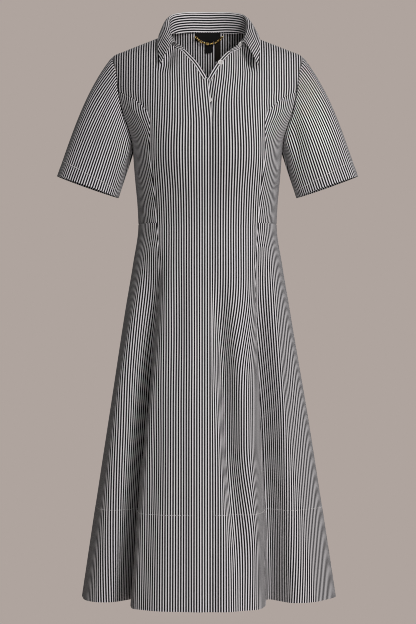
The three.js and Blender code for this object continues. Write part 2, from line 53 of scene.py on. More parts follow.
# Body sections from the neck down: half width, and depth before and behind the side seam
Section = namedtuple("Section", "z width front back")
SECTIONS = [
    Section(20, 47, 28, 55),
    Section(8, 76, 36, 57),
    Section(-12, 126, 53, 67),
    Section(-30, 170, 65, 76),
    Section(-40, 192, 71, 80),
    Section(-56, 199, 80, 86),
    Section(-95, 199, 97, 98),
    Section(-150, 186, 113, 105),
    Section(-190, 164, 120, 107),
    Section(-215, 151, 122, 106),
    Section(-240, 146, 122, 104),
    Section(-300, 143, 113, 96),
    Section(-340, 141, 105, 91),
    Section(-380, 140, 101, 89),
    Section(-460, 151, 114, 103),
    Section(-558, 167.5, 129, 118),
    Section(-753, 198, 161, 149),
    Section(-948, 228, 194, 180),
    Section(-1134, 256, 226, 210),
]

# The hem's outline, a row for each 12 degrees from the front centre towards the wearer's left
HemPoint = namedtuple("HemPoint", "x y")
HEM_OUTLINE = [
    HemPoint(0, -229),
    HemPoint(45, -230),
    HemPoint(88, -206),
    HemPoint(112, -145),
    HemPoint(121, -54),
    HemPoint(166, -104),
    HemPoint(221, -90),
    HemPoint(253, -32),
    HemPoint(254, 30),
    HemPoint(228, 86),
    HemPoint(184, 104),
    HemPoint(160, 152),
    HemPoint(124, 206),
    HemPoint(76, 194),
    HemPoint(38, 198),
    HemPoint(0, 212),
    HemPoint(-44, 214),
    HemPoint(-84, 190),
    HemPoint(-122, 204),
    HemPoint(-158, 158),
    HemPoint(-182, 100),
    HemPoint(-224, 84),
    HemPoint(-250, 34),
    HemPoint(-254, -24),
    HemPoint(-228, -76),
    HemPoint(-190, -94),
    HemPoint(-153, -48),
    HemPoint(-149, -152),
    HemPoint(-116, -208),
    HemPoint(-54, -226),
]
FLARE_TOP = -430
FLARE_POWER = 1.08

# Soft folds of the skirt: the angle at the fold's top and at the hem, its half width and rise
Fold = namedtuple("Fold", "top hem start spread rise")
FOLDS = [
    Fold(6, 19, -470, 4.2, -9),
    Fold(-17, -24, -520, 5, 5),
    Fold(27, 29, -560, 4, 5),
    Fold(68, 76, -480, 5, -7),
    Fold(-66, -73, -500, 5, 7),
    Fold(168, 164, -500, 5, 7),
    Fold(-160, -165, -540, 5, -6),
]
FOLD_FADE = 260

CUP_X = 78
CUP_Z = -238
CUP_SPREAD_X = 46
CUP_SPREAD_Z = 60
CUP_RISE = 14

# Creases laid over the body: ends as angle and height, half width and rise in mm
Crease = namedtuple("Crease", "angle0 z0 angle1 z1 spread rise")
CREASES = [
    # drag folds from the armholes to the bust
    Crease(-58, -128, -40, -196, 6, 2.0),
    Crease(-52, -118, -33, -170, 5, -1.5),
    Crease(57, -134, 42, -190, 6, 1.8),
    Crease(50, -112, 30, -158, 6, -1.3),
    Crease(-24, -70, -12, -150, 9, -1.6),
    Crease(22, -92, 12, -170, 9, -1.1),
    # under the bust and at the waist
    Crease(-34, -262, -22, -350, 8, -1.3),
    Crease(36, -258, 26, -340, 8, -1.1),
    Crease(-82, -262, -58, -292, 6, 1.6),
    Crease(-84, -300, -60, -318, 5, -1.4),
    Crease(84, -250, 62, -280, 6, 1.4),
    Crease(80, -296, 58, -326, 6, -1.3),
    Crease(-72, -352, -46, -372, 5, 1.2),
    Crease(70, -346, 50, -374, 5, 1.1),
    # the hollows of the chest under the fronts of the collar
    Crease(-21, -24, -25.2, -84, 7.5, -16),
    Crease(21, -24, 25.2, -84, 7.5, -16),
    # the trough beside the front centre, the front flute's left face and the right valley
    Crease(7, -420, 17, -1080, 10.5, -23),
    Crease(16, -430, 27, -1080, 13, 6),
    Crease(-24, -640, -24, -1134, 14, -5),
    Crease(-32, -560, -32, -1134, 9, 7),
    Crease(-49, -430, -52, -1134, 13, -22),
    Crease(-64, -450, -66, -1134, 14, 6),
    Crease(-40, -395, -43, -900, 11, -15),
    Crease(-27, -400, -27, -900, 12, 5),
    Crease(42, -400, 45, -880, 10, -12),
    Crease(30, -420, 30, -860, 12, 4),
    Crease(46, -440, 49, -1040, 10, -17),
    Crease(57, -540, 58, -1134, 14, 6),
    # soft folds of the skirt between the flutes
    Crease(-13, -385, -4, -1134, 10, 4.0),
    Crease(-3.5, -390, -2.5, -780, 8, -3.5),
    Crease(-20, -400, -18, -700, 9, -2.5),
    Crease(-58, -430, -62, -820, 12, 2.5),
    Crease(-80, -520, -84, -1134, 14, -3.0),
    Crease(54, -440, 58, -900, 12, 2.4),
    Crease(84, -560, 88, -1134, 15, 3.2),
    # back of the bodice
    Crease(122, -110, 140, -200, 8, 1.8),
    Crease(-120, -116, -142, -190, 8, 1.6),
    Crease(130, -150, 150, -240, 8, -1.5),
    Crease(-134, -158, -152, -250, 8, -1.4),
    Crease(118, -330, 150, -352, 7, 1.7),
    Crease(-112, -318, -148, -346, 7, 1.8),
    Crease(112, -362, 140, -374, 5, -1.3),
    Crease(-118, -356, -150, -372, 5, -1.4),
    Crease(172, -290, 166, -372, 8, -1.2),
    # back of the skirt
    Crease(176, -450, 174, -960, 14, -2.8),
    Crease(-176, -560, -178, -1134, 14, 2.6),
    Crease(150, -430, 148, -880, 13, 2.4),
    Crease(-148, -440, -146, -940, 13, -2.6),
    Crease(128, -440, 126, -1134, 14, -3.0),
    Crease(-126, -460, -128, -1100, 14, 2.8),
    Crease(104, -480, 106, -960, 12, 2.2),
    Crease(-104, -450, -108, -900, 12, -2.4),
]

# Armhole, an oval seen from the side
ARMHOLE_TOP = -41
ARMHOLE_BOTTOM = -228
ARMHOLE_FRONT = 48
ARMHOLE_BACK = 50

# Princess seams: distance from the centre line on the bodice, and angle on the skirt
SeamX = namedtuple("SeamX", "z x")
FRONT_PRINCESS = [
    SeamX(-118, 176),
    SeamX(-130, 152),
    SeamX(-145, 133),
    SeamX(-160, 118),
    SeamX(-178, 111),
    SeamX(-215, 109),
    SeamX(-315, 103),
    SeamX(-380, 101),
]
BACK_PRINCESS = [
    SeamX(-118, 176),
    SeamX(-130, 154),
    SeamX(-150, 132),
    SeamX(-175, 116),
    SeamX(-215, 106),
    SeamX(-315, 97),
    SeamX(-380, 93),
]
SeamTurn = namedtuple("SeamTurn", "z front back")
SKIRT_PRINCESS = [
    SeamTurn(-380, 45, 40.3),
    SeamTurn(-430, 41, 38),
    SeamTurn(-500, 38.5, 37),
    SeamTurn(-1134, 37, 36),
]

# Heights of the cloth rows, shared by panels that meet
ARMHOLE_LEVELS = [-41, -55, -70, -84, -100, -118]
BODICE_LEVELS = [-130, -145, -160, -178, -200, -228, -255, -285, -315, -347, -380]
SKIRT_LEVELS = [-430, -490, -555, -625, -695, -765, -835, -905, -980, -1057, -1134]

# Neckline and front edge, from the shoulder down, as distance to the panel's own side of centre
EdgePoint = namedtuple("EdgePoint", "x z")
RIGHT_EDGE = [
    EdgePoint(76, 8),
    EdgePoint(74, -11),
    EdgePoint(64, -27),
    EdgePoint(46, -32),
    EdgePoint(34, -44),
    EdgePoint(20, -60),
    EdgePoint(8, -79),
    EdgePoint(0, -95),
    EdgePoint(-3, -120),
    EdgePoint(-6, -150),
    EdgePoint(-8.5, -185),
    EdgePoint(-9, -222),
]
LEFT_EDGE = [
    EdgePoint(76, 8),
    EdgePoint(75, -12),
    EdgePoint(64, -31),
    EdgePoint(41, -37),
    EdgePoint(30, -47),
    EdgePoint(19, -61),
    EdgePoint(8, -79),
    EdgePoint(-2, -97),
    EdgePoint(-11, -120),
    EdgePoint(-18, -150),
    EdgePoint(-20, -185),
    EdgePoint(-20, -222),
]
RIGHT_EDGE_BELOW = -9
LEFT_EDGE_BELOW = -20
NECK_SEAM_ROWS = 4
LAP_DROP = 2.4
LAP_BLEND = 12
LAP_DIP = 4.4
LAP_DIP_Z = -137
LAP_DIP_SPREAD = 20

# Back neckline, as angle from the back centre and height
TurnPoint = namedtuple("TurnPoint", "angle z")
BACK_NECK = [TurnPoint(90, 8), TurnPoint(60, 13), TurnPoint(30, 16.5), TurnPoint(0, 18)]
BACK_CENTRE_LEVELS = [-5, -28, -52, -76, -100, -125, -152, -185, -222]

# Sleeve
CUFF_PLACE = np.array([242.5, -8.0, -305.0])
CUFF_HALF_WIDTH = 65.9
CUFF_HALF_DEPTH = 54
CUFF_OUTWARD = np.array([0.943, 0, 0.332])
CUFF_DOWN = np.array([0.332, 0, -0.943])
SLEEVE_START_TOP = np.array([0.62, 0, -0.78])
SLEEVE_START_UNDER = np.array([0.3, 0, -0.95])
SLEEVE_FULLNESS = 0.22
SLEEVE_PULL = 0.33
SLEEVE_SEAM = 0.5
SLEEVE_HEM = 22  # depth of the turned hem

# Creases of a sleeve: turn round it, 0 on top and 90 in front, and share of its length
SleeveCrease = namedtuple("SleeveCrease", "turn0 along0 turn1 along1 spread rise")
SLEEVE_CREASES = {
    "right": [
        SleeveCrease(62, 0.02, 78, 0.9, 8, -2.6),
        SleeveCrease(98, 0.0, 112, 0.55, 7, 2.4),
        SleeveCrease(128, 0.0, 122, 0.42, 6, -2.4),
        SleeveCrease(34, 0.1, 42, 1.0, 10, 2.2),
        SleeveCrease(150, 0.05, 140, 0.5, 7, 2.0),
        SleeveCrease(-60, 0.0, -76, 0.8, 9, -2.4),
        SleeveCrease(-100, 0.0, -112, 0.6, 7, 2.4),
        SleeveCrease(-136, 0.0, -126, 0.5, 7, -2.2),
    ],
    "left": [
        SleeveCrease(54, 0.04, 66, 1.0, 9, -2.2),
        SleeveCrease(86, 0.0, 98, 0.7, 7, 2.8),
        SleeveCrease(112, 0.0, 122, 0.55, 5, -4.0),
        SleeveCrease(138, 0.0, 132, 0.45, 5, 3.2),
        SleeveCrease(22, 0.2, 30, 1.0, 10, 1.8),
        SleeveCrease(-52, 0.0, -70, 0.9, 9, 2.2),
        SleeveCrease(-92, 0.0, -104, 0.6, 8, -2.4),
        SleeveCrease(-128, 0.0, -120, 0.5, 7, 2.2),
    ],
}

# Collar from the front end to the back centre: the roll at the top, and the edge of the fall
CollarPoint = namedtuple("CollarPoint", "right left y z")
COLLAR_ROLL = [
    CollarPoint(65, 69, -66, -18),
    CollarPoint(75, 77, -46, 5),
    CollarPoint(78, 79, -12, 31),
    CollarPoint(70, 70, 25, 49),
    CollarPoint(40, 40, 49, 57),
    CollarPoint(0, 0, 57, 58),
]
COLLAR_EDGE = [
    CollarPoint(93, 99, -90, -67),
    CollarPoint(97, 103, -62, -22),
    CollarPoint(95, 99, -14, 6),
    CollarPoint(88, 89, 34, 8),
    CollarPoint(54, 54, 64, 9),
    CollarPoint(0, 0, 74, 10),
]
COLLAR_COLUMNS = 28
STAND_TUCK = 2.2  # the stand's foot reaches this far inside the neck seam
FALL_BULGE = 4.0
FALL_FRONT_LIFT = 9  # the fall's front stands off the chest between the roll and the point
ROLL_RADIUS = 1.3

# Trim
BUTTON_RADIUS = 5.6
BUTTON_THICKNESS = 2.3
COLLAR_BUTTON_COLUMN = 27.1
COLLAR_BUTTON_DOWN = 0.42
NECK_BUTTON = EdgePoint(26, -62)
CLOSING_BUTTON = EdgePoint(3, LAP_DIP_Z)
Strip = namedtuple("Strip", "left right top bottom depth corner")
LABEL = Strip(-25, 28, 17, 1, 4.25, 3)
SIZE_TAB = Strip(-5, 9, 14, -22, 3.3, 0.8)
CARE_STRIP = Strip(16.5, 27.5, 14, -38, 3.3, 0.8)
STRIP_THICKNESS = 0.6
CHAIN_LEFT = -24
CHAIN_RIGHT = 31
CHAIN_TOP = 8
CHAIN_SAG = 11
CHAIN_DEPTH = 6.9

SIDES = {"right": -1, "left": 1}


# Smooth curve through a table's rows that never overshoots them, read by position.
def smooth_through(place, value):
    place = np.asarray(place, float)
    value = np.asarray(value, float)
    slope = np.diff(value) / np.diff(place)
    tangent = np.zeros(len(place))
    tangent[0] = slope[0]
    tangent[-1] = slope[-1]
    product = slope[:-1] * slope[1:]
    total = slope[:-1] + slope[1:]
    same_way = product > 0
    tangent[1:-1][same_way] = 2 * product[same_way] / total[same_way]

    def read(wanted):
        h = np.clip(wanted, place[0], place[-1])
        i = np.clip(np.searchsorted(place, h, side="right") - 1, 0, len(place) - 2)
        step = place[i + 1] - place[i]
        t = (h - place[i]) / step
        bend = t * t * (3 - 2 * t)
        start = t * (1 - t) ** 2
        end = -t * t * (1 - t)
        level = value[i] * (1 - bend) + value[i + 1] * bend
        return level + step * (tangent[i] * start + tangent[i + 1] * end)

    return read


def profile(rows, key):
    rows = sorted(rows, key=lambda row: row.z)
    return smooth_through([row.z for row in rows], [getattr(row, key) for row in rows])


width_at = profile(SECTIONS, "width")
front_depth_at = profile(SECTIONS, "front")
back_depth_at = profile(SECTIONS, "back")
right_edge_at = profile(RIGHT_EDGE, "x")
princess_x = {True: profile(FRONT_PRINCESS, "x"), False: profile(BACK_PRINCESS, "x")}
princess_turn = {True: profile(SKIRT_PRINCESS, "front"), False: profile(SKIRT_PRINCESS, "back")}


def signed_power(value, power):
    return np.sign(value) * np.abs(value) ** power


def bell(distance, spread):
    return np.exp(-0.5 * (distance / spread) ** 2)


def wrapped(angle):
    return (angle + 180) % 360 - 180


def smooth_step(value):
    t = np.clip(value, 0, 1)
    return t * t * (3 - 2 * t)


def length_of(vectors):
    return np.sqrt((vectors**2).sum(axis=-1))


def unit(vectors):
    return vectors / np.maximum(length_of(vectors), 1e-9)[..., None]


# Section of the body at one height. The angle is 0 at the front centre and 90 at the side.
def smooth_section(angle, z):
    turn = np.radians(angle)
    depth = np.where(np.cos(turn) > 0, front_depth_at(z), back_depth_at(z))
    x = width_at(z) * signed_power(np.sin(turn), 2 / ROUNDNESS)
    y = -depth * signed_power(np.cos(turn), 2 / ROUNDNESS)
    return x, y


# The hem's outline as a closed curve through its rows.
def hem_outline(angle):
    count = len(HEM_OUTLINE)
    place = (np.asarray(angle, float) / 360 % 1) * count
    first = np.floor(place).astype(int)
    t = place - first

    def blend(key):
        table = np.array([getattr(row, key) for row in HEM_OUTLINE], float)
        a, b, c, d = (table[(first + k) % count] for k in (-1, 0, 1, 2))
        bend = 2 * a - 5 * b + 4 * c - d
        return 0.5 * (2 * b + (c - a) * t + bend * t**2 + (3 * b - a - 3 * c + d) * t**3)

    return blend("x"), blend("y")


# Rise of cups, folds and creases over the plain form, outwards.
def rise(angle, z, x):
    total = np.zeros(np.broadcast(angle, z).shape)
    in_front = np.abs(wrapped(angle)) < 90
    cup = CUP_RISE * bell(np.abs(x) - CUP_X, CUP_SPREAD_X) * bell(z - CUP_Z, CUP_SPREAD_Z)
    total += np.where(in_front, cup, 0)
    for fold in FOLDS:
        grown = smooth_step((fold.start - z) / FOLD_FADE)
        way = np.clip((fold.start - z) / (fold.start - HEM_Z), 0, 1)
        centre = fold.top + (fold.hem - fold.top) * way
        total += fold.rise * grown * bell(wrapped(angle - centre), fold.spread)
    per_degree = math.pi / 180 * (width_at(z) + front_depth_at(z)) / 2
    for crease in CREASES:
        total += crease_rise(crease, angle, z, per_degree)
    return total


# A crease has a bell across it, and fades at both ends unless it runs out of the hem.
def crease_rise(crease, angle, z, per_degree):
    across = wrapped(angle - crease.angle0) * per_degree
    down = crease.z0 - z
    run_x = wrapped(crease.angle1 - crease.angle0) * per_degree
    run_z = crease.z0 - crease.z1
    length = np.sqrt(run_x**2 + run_z**2)
    along = (across * run_x + down * run_z) / length**2
    aside = (across * run_z - down * run_x) / length
    fade_out = 1 if crease.z1 <= HEM_Z else smooth_step((1 - along) / 0.4)
    return crease.rise * bell(aside, crease.spread) * smooth_step(along / 0.4) * fade_out


# Points of the dress's outer surface.
def surface(angle, z, raised=1):
    angle, z = np.broadcast_arrays(np.asarray(angle, float), np.asarray(z, float))
    x, y = smooth_section(angle, z)
    grown = np.maximum(0, (FLARE_TOP - z) / (FLARE_TOP - HEM_Z)) ** FLARE_POWER
    hem_x, hem_y = hem_outline(angle)
    low_x, low_y = smooth_section(angle, np.full(z.shape, float(HEM_Z)))
    out = unit(np.stack([x / width_at(z) ** 2, y / front_depth_at(z) ** 2], axis=-1))
    lift = raised * rise(angle, z, x)
    return np.stack(
        [
            x + (hem_x - low_x) * grown + out[..., 0] * lift,
            y + (hem_y - low_y) * grown + out[..., 1] * lift,
            z,
        ],
        axis=-1,
    )


def surface_normal(angle, z):
    across = surface(angle + 0.5, z) - surface(angle - 0.5, z)
    up = surface(angle, z + 1) - surface(angle, z - 1)
    return unit(np.cross(across, up))


def angle_of_x(x, z):
    share = np.clip(x / width_at(z), -1, 1)
    return np.degrees(np.arcsin(signed_power(share, ROUNDNESS / 2)))


# The armhole's edge at one height, as an angle from the front or back centre.
def armhole_angle(z, is_front):
    middle = (ARMHOLE_TOP + ARMHOLE_BOTTOM) / 2
    half = (ARMHOLE_TOP - ARMHOLE_BOTTOM) / 2
    share = np.clip((z - middle) / half, -1, 1)
    y = np.where(is_front, ARMHOLE_FRONT, ARMHOLE_BACK) * np.sqrt(1 - share**2)
    depth = np.where(is_front, front_depth_at(z), back_depth_at(z))
    return np.degrees(np.arccos(np.minimum(1, y / depth) ** (ROUNDNESS / 2)))


def princess_angle(z, is_front):
    bodice = angle_of_x(princess_x[is_front](z), z)
    at_armhole = np.minimum(bodice, armhole_angle(z, is_front) - 0.5)
    bodice = np.where(z < ARMHOLE_BOTTOM, bodice, at_armhole)
    return np.where(z < WAIST_Z, princess_turn[is_front](z), bodice)


# Cloth pieces

pieces = {}


def make_object(name, vertices, faces, material, uv=None, smooth=True):
    mesh = bpy.data.meshes.new(name)
    mesh.from_pydata((np.asarray(vertices) * MM).tolist(), [], faces)
    if uv is not None:
        layer = mesh.uv_layers.new(name="cloth")
        layer.data.foreach_set("uv", np.asarray(uv, np.float32).ravel())
    if smooth:
        mesh.polygons.foreach_set("use_smooth", [True] * len(mesh.polygons))
    mesh.materials.append(material)
    mesh.update()
    obj = bpy.data.objects.new(name, mesh)
    bpy.context.scene.collection.objects.link(obj)
    pieces[name] = obj
    return obj


def grid_normals(grid, ring):
    padded = np.concatenate([grid[:, -1:], grid, grid[:, :1]], axis=1) if ring else grid
    around = np.gradient(padded, axis=1)
    if ring:
        around = around[:, 1:-1]
    down = np.gradient(grid, axis=0)
    return unit(np.cross(down, around))


# A closed shell from a grid of points on the outer face. Rows run down, columns run round.
# uv holds millimetres across and along the cloth, with one more column on a ring.
def make_cloth(name, grid, uv, thickness, outward, material, ring=False):
    rows, columns = grid.shape[:2]
    normals = grid_normals(grid, ring)
    facing_out = (normals * outward).sum() > 0
    if not facing_out:
        normals = -normals
    inner = grid - normals * np.broadcast_to(thickness, (rows, columns))[..., None]
    vertices = np.concatenate([grid.reshape(-1, 3), inner.reshape(-1, 3)])
    spans = columns if ring else columns - 1
    faces = []
    corners = []

    def add(row_columns, inside):
        corner_ids = []
        for (r, c), low in zip(row_columns, inside):
            corner_ids.append(low * rows * columns + r * columns + c % columns)
            corners.append(uv[r, c])
        faces.append(corner_ids)

    for r in range(rows - 1):
        for c in range(spans):
            ids = [(r, c), (r, c + 1), (r + 1, c + 1), (r + 1, c)]
            if facing_out:
                ids = ids[::-1]
            add(ids, (0, 0, 0, 0))
            add(ids[::-1], (1, 1, 1, 1))
    border = [((0, c + 1), (0, c)) for c in range(spans)]
    border += [((rows - 1, c), (rows - 1, c + 1)) for c in range(spans)]
    if not ring:
        border += [((r, 0), (r + 1, 0)) for r in range(rows - 1)]
        border += [((r + 1, columns - 1), (r, columns - 1)) for r in range(rows - 1)]
    for a, b in border:
        if facing_out:
            a, b = b, a
        add([a, b, b, a], (0, 0, 1, 1))
    obj = make_object(name, vertices, faces, material, np.array(corners))
    sharpen_rim(obj.data, rows, columns, ring)
    return obj


# The rim's edges are sharp, so that the faces beside it shade as cloth.
def sharpen_rim(mesh, rows, columns, ring):
    ends = np.empty(2 * len(mesh.edges), dtype=np.int32)
    mesh.edges.foreach_get("vertices", ends)
    ends = ends.reshape(-1, 2) % (rows * columns)
    row, column = ends // columns, ends % columns
    on_row = ((row == 0).all(axis=1)) | ((row == rows - 1).all(axis=1))
    on_column = ((column == 0).all(axis=1)) | ((column == columns - 1).all(axis=1))
    sharp = on_row | (on_column & (not ring))
    layer = mesh.attributes.get("sharp_edge") or mesh.attributes.new("sharp_edge", "BOOLEAN", "EDGE")
    layer.data.foreach_set("value", sharp)


def sheet_area(grid, ring):
    closed = np.concatenate([grid, grid[:, :1]], axis=1) if ring else grid
    a, b = closed[:-1, :-1], closed[:-1, 1:]
    c, d = closed[1:, 1:], closed[1:, :-1]
    doubled = length_of(np.cross(b - a, c - a)) + length_of(np.cross(c - a, d - a))
    return doubled.sum() / 2 * MM * MM


CUTS = {}


def declare(obj, node, grid, uv, ring=False):
    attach(obj, "root")
    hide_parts(node)
    width = np.ptp(uv[..., 0]) * MM
    length = np.ptp(uv[..., 1]) * MM
    area = min(sheet_area(grid, ring), width * length)
    CUTS[node] = (round(width, 3), round(length, 3), round(area, 4))


# Body panels

ROW_STEPS = 6  # cloth rows between two rows of the CAD
EDGE_STEPS = (0, 0.6, 1.4, 2.6, 4.4)  # millimetres from a seam to the first columns
FRONT_EDGE_STEPS = (0, 0.6, 1.4, 2.6, 4.4, 7.2, 7.26)
FACING_COLUMNS = 6  # the columns that belong to the rolled facing of the neck opening
SEAM_SINK = 0.9
SEAM_SPREAD = 1.1


def dense(values, steps=ROW_STEPS):
    count = len(values)
    read = smooth_through(np.arange(count), values)
    return read(np.linspace(0, count - 1, (count - 1) * steps + 1))


# Shares of the way across each row, with close columns beside both edges.
def column_shares(width, count, left_steps):
    width = np.maximum(width, 20)[:, None]
    left = np.array(left_steps)[None, :] / width
    right = 1 - np.array(EDGE_STEPS)[None, ::-1] / width
    middle = np.linspace(0, 1, count + 2)[None, 1:-1]
    inner = left[:, -1:] + (right[:, :1] - left[:, -1:]) * middle
    return np.concatenate([left, inner, right], axis=1)


CHEST_SPREAD = 1.02
CHEST_LOW = -165
CHEST_FADE = 60


# Distance across the cloth at one height, from the grain line to each point. The upper chest
# and back hang flat, so there it is the distance from the centre.
def across_cloth(turn, z, grain, is_centre, is_front):
    is_chest = is_centre & (z > -118)
    reference = np.where(is_chest, -118.0, z)
    x, _ = smooth_section(turn, z)
    level = angle_of_x(x, reference)
    if not is_front:
        level = np.where(turn < 0, -180, 180) - level
    lifted = np.where(is_chest, level, turn)
    steps = np.linspace(0, 1, 25)
    path = grain[..., None] + (lifted - grain)[..., None] * steps
    points = surface(path, reference[..., None], reference[..., None] < WAIST_Z)
    span = length_of(np.diff(points, axis=-2)).sum(axis=-1)
    across = span * np.sign(lifted - grain)
    level_x = CHEST_SPREAD * (x if is_front else -x)
    chest = smooth_step((z - CHEST_LOW) / CHEST_FADE) if is_centre else 0
    return across + (level_x - across) * chest


def down_cloth(grid):
    step = length_of(np.diff(grid, axis=0))
    return np.concatenate([np.zeros((1, grid.shape[1])), np.cumsum(step, axis=0)])


# The line of the closed front edge, drawn on straight up past the neck opening with a soft bend.
def lap_line(z, table):
    edge = profile(table, "x")
    below = LEAN_BEND * np.logaddexp(0, (NECK_CORNER - z) / LEAN_BEND)
    return edge(NECK_CORNER - below)


def make_panel(name, left, right, columns, side, is_front, grain, edges, drop=None, front_edge=None):
    left_angle, left_z = left
    right_angle, right_z = right
    start = surface(side * left_angle if is_front else 180 - side * left_angle, left_z)
    end = surface(side * right_angle if is_front else 180 - side * right_angle, right_z)
    width = length_of(end - start)
    shares = column_shares(width, columns, FRONT_EDGE_STEPS if front_edge else EDGE_STEPS)
    angle = left_angle[:, None] + (right_angle - left_angle)[:, None] * shares
    z = left_z[:, None] + (right_z - left_z)[:, None] * shares
    turn = side * angle if is_front else side * (180 - angle)
    grid = surface(turn, z)
    normals = surface_normal(turn, z)
    lift = np.zeros(z.shape)
    thickness = np.full(z.shape, SHEET)
    from_left = length_of(grid - grid[:, :1])
    from_right = length_of(grid - grid[:, -1:])
    left_kind, right_kind = edges
    for kind, distance in ((left_kind, from_left), (right_kind, from_right)):
        if kind == "seam":
            lift -= SEAM_SINK * np.exp(-((distance / SEAM_SPREAD) ** 2))
        else:
            thickness += (FOLDED - SHEET) * smooth_step((kind - distance) / 2 + 1)
    if drop is not None:
        lift -= drop(grid, z)
    if "side" in name:
        lift -= SEAM_SINK * np.exp(-(((z - WAIST_Z) / SEAM_SPREAD) ** 2))
    if z.min() <= HEM_Z + 1:
        in_hem = smooth_step((HEM_STITCH_Z - z) / 2.5)
        lift += 0.35 * in_hem - 0.5 * bell(z - HEM_STITCH_Z, 1.6)
        thickness += (FOLDED - SHEET) * in_hem
    grid = grid + normals * lift[..., None]
    across = across_cloth(turn, z, grain(z), "side" not in name, is_front)
    if front_edge:
        lap = lap_line(z, front_edge.table)
        beside = bell(np.maximum(0, side * grid[..., 0] - lap), LEAN_REACH)
        across = across - side * front_edge.lean * (lap - front_edge.table[-1].x) * beside
    uv = np.stack([across, down_cloth(grid)], axis=-1)
    if front_edge:
        facing = slice(ROW_STEPS * (NECK_SEAM_ROWS - 1), ROW_STEPS * 7)
        band = np.stack([from_left, down_cloth(grid)], axis=-1)
        uv[facing, :FACING_COLUMNS] = band[facing, :FACING_COLUMNS]
    obj = make_cloth(name, grid, uv, thickness, normals, cotton)
    declare(obj, name.replace("cloth_", ""), grid, uv)
    return obj


def centre_panel_outer_edge(is_front):
    z = dense(ARMHOLE_LEVELS + BODICE_LEVELS + SKIRT_LEVELS)
    armhole = armhole_angle(z, is_front)
    angle = np.where(z > ARMHOLE_LEVELS[-1], armhole, princess_angle(z, is_front))
    return angle, z


# The under front drops behind the lap, and dips further at the closing button.
def lap_drop(grid, z):
    lap_edge = -right_edge_at(z)
    under = 1 - smooth_step((grid[..., 0] - lap_edge - 2) / LAP_BLEND)
    return under * (LAP_DROP + LAP_DIP * bell(z - LAP_DIP_Z, LAP_DIP_SPREAD))


FLY_WIDTH = 30
NECK_CORNER = -95.0  # height where the neck opening closes
LEAN_REACH = 55  # the grain beside the front edge leans with it
LEAN_BEND = 14  # height over which the lean sets in
FrontEdge = namedtuple("FrontEdge", "table lean")


def make_front(label):
    side = SIDES[label]
    is_lap = side < 0
    table = RIGHT_EDGE if is_lap else LEFT_EDGE
    below = RIGHT_EDGE_BELOW if is_lap else LEFT_EDGE_BELOW
    levels = ARMHOLE_LEVELS + BODICE_LEVELS + SKIRT_LEVELS
    straight = levels[len(table) :]
    x = dense([row.x for row in table] + [below] * len(straight))
    z = dense([row.z for row in table] + straight)
    left = (angle_of_x(x, z), z)

    make_panel(
        f"cloth_front_{label}",
        left,
        centre_panel_outer_edge(True),
        34,
        side,
        True,
        np.zeros_like,
        (FLY_WIDTH if is_lap else 12, "seam"),
        None if is_lap else lap_drop,
        FrontEdge(table, 1.0 if is_lap else 0.6),
    )


def make_back(label):
    side = SIDES[label]
    levels = ARMHOLE_LEVELS + BODICE_LEVELS + SKIRT_LEVELS
    shared = levels[len(BACK_NECK) + len(BACK_CENTRE_LEVELS) :]
    angle = [row.angle for row in BACK_NECK] + [0] * (len(BACK_CENTRE_LEVELS) + len(shared))
    z = [row.z for row in BACK_NECK] + BACK_CENTRE_LEVELS + shared
    left = (dense(angle), dense(z))
    make_panel(
        f"cloth_back_{label}",
        left,
        centre_panel_outer_edge(False),
        34,
        side,
        False,
        lambda height: np.full(height.shape, side * 180.0),
        ("seam", "seam"),
    )


WAIST_STEPS = (3.6, 2.2, 1.2, 0.5, 0)  # the last rows above the waist seam, and the first below
Grain = namedtuple("Grain", "top hem")
SKIRT_GRAIN = {"front": Grain(61, 56), "back": Grain(116, 120)}


def make_side_panels(label, is_front):
    side = SIDES[label]
    face = "front" if is_front else "back"

    def flute_grain(height):
        grain = SKIRT_GRAIN[face]
        way = np.clip((FLARE_TOP - height) / (FLARE_TOP - HEM_Z), 0, 1)
        return side * (grain.top + (grain.hem - grain.top) * way)

    def side_grain(height):
        return np.full(height.shape, side * 90.0)

    bodice = dense([ARMHOLE_LEVELS[-1]] + BODICE_LEVELS)
    bodice = np.concatenate([bodice[:-1], WAIST_Z + np.array(WAIST_STEPS)])
    at_side = np.where(bodice > ARMHOLE_BOTTOM, armhole_angle(bodice, is_front), 90)
    make_panel(
        f"cloth_side_{face}_bodice_{label}",
        (princess_angle(bodice, is_front), bodice),
        (at_side, bodice),
        20,
        side,
        is_front,
        side_grain,
        ("seam", "seam"),
    )
    skirt = dense([WAIST_Z] + SKIRT_LEVELS)
    skirt = np.concatenate([WAIST_Z - np.array(WAIST_STEPS[::-1]), skirt[1:]])
    make_panel(
        f"cloth_side_{face}_skirt_{label}",
        (princess_angle(skirt, is_front), skirt),
        (np.full(skirt.shape, 90.0), skirt),
        46,
        side,
        is_front,
        flute_grain,
        ("seam", "seam"),
    )


# Sleeves

SLEEVE_ROWS = 44
SLEEVE_COLUMNS = 96


